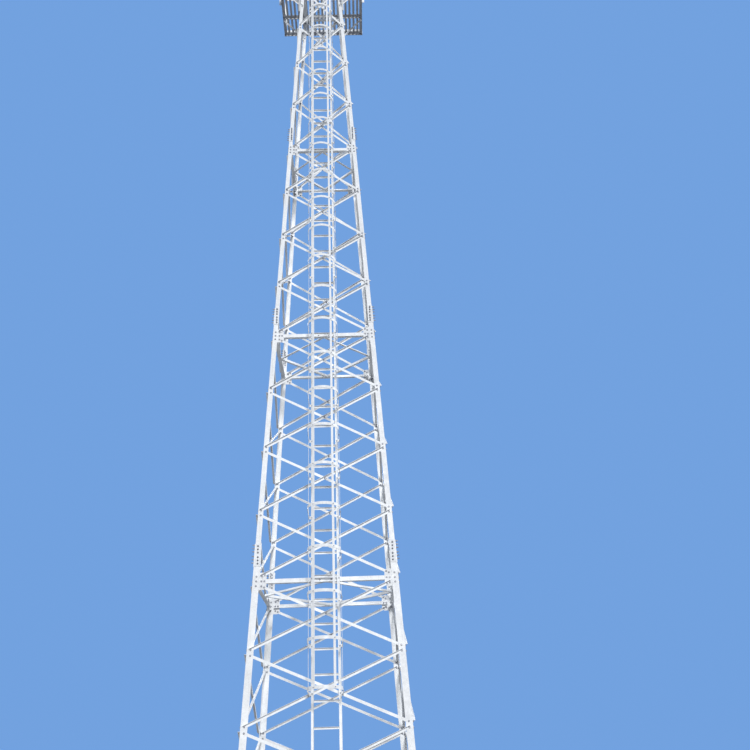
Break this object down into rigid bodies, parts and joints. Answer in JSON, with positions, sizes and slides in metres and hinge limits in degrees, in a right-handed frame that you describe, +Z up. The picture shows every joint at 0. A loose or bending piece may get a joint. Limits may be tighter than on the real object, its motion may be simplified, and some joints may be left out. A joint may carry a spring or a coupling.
{
  "type": "angle steel lattice tower with caged ladder and platform",
  "caption": "Tapering square lattice tower of bolted steel angles with an outside caged ladder and a small railed platform on top.",
  "frame": {"origin": "tower axis at the undersides of the base plates", "axes": "+Z up the tower, -Y towards the ladder side, +X to the right seen from the ladder side"},
  "size_m": [2.81, 3.328, 18.738],
  "materials": {
    "leg_steel": "hot dip galvanised, matt",
    "brace_steel": "hot dip galvanised, matt",
    "plate_steel": "hot dip galvanised, matt",
    "ladder_steel": "hot dip galvanised, matt",
    "deck_steel": "hot dip galvanised, dull",
    "guard_steel": "hot dip galvanised, matt"
  },
  "bodies": {
    "root": {"bracing_back": "brace_steel", "bracing_front": "brace_steel", "bracing_left": "brace_steel", "bracing_right": "brace_steel", "cage_hoops_1": "ladder_steel", "cage_hoops_2": "ladder_steel", "cage_hoops_3": "ladder_steel", "cage_hoops_4": "ladder_steel", "cage_hoops_5": "ladder_steel", "cage_hoops_6": "ladder_steel", "cage_strap_left": "ladder_steel", "cage_strap_right": "ladder_steel", "cage_straps_front": "ladder_steel", "deck_frame": "deck_steel", "deck_slats": "deck_steel", "feet": "plate_steel", "gussets_back": "plate_steel", "gussets_front": "plate_steel", "gussets_left": "plate_steel", "gussets_right": "plate_steel", "ladder_brackets": "ladder_steel", "ladder_rail_left": "ladder_steel", "ladder_rail_right": "ladder_steel", "ladder_rungs": "ladder_steel", "leg_back_left": "leg_steel", "leg_back_right": "leg_steel", "leg_front_left": "leg_steel", "leg_front_right": "leg_steel", "plan_bracing_1": "brace_steel", "plan_bracing_2": "brace_steel", "plan_bracing_3": "brace_steel", "platform_knees_left": "brace_steel", "platform_knees_right": "brace_steel", "railing_back": "guard_steel", "railing_front": "guard_steel", "railing_left": "guard_steel", "railing_right": "guard_steel", "splice_angles_back_left": "leg_steel", "splice_angles_back_right": "leg_steel", "splice_angles_front_left": "leg_steel", "splice_angles_front_right": "leg_steel", "splice_plates_back": "plate_steel", "splice_plates_front": "plate_steel", "splice_plates_left": "plate_steel", "splice_plates_right": "plate_steel"}
  },
  "joints": []
}
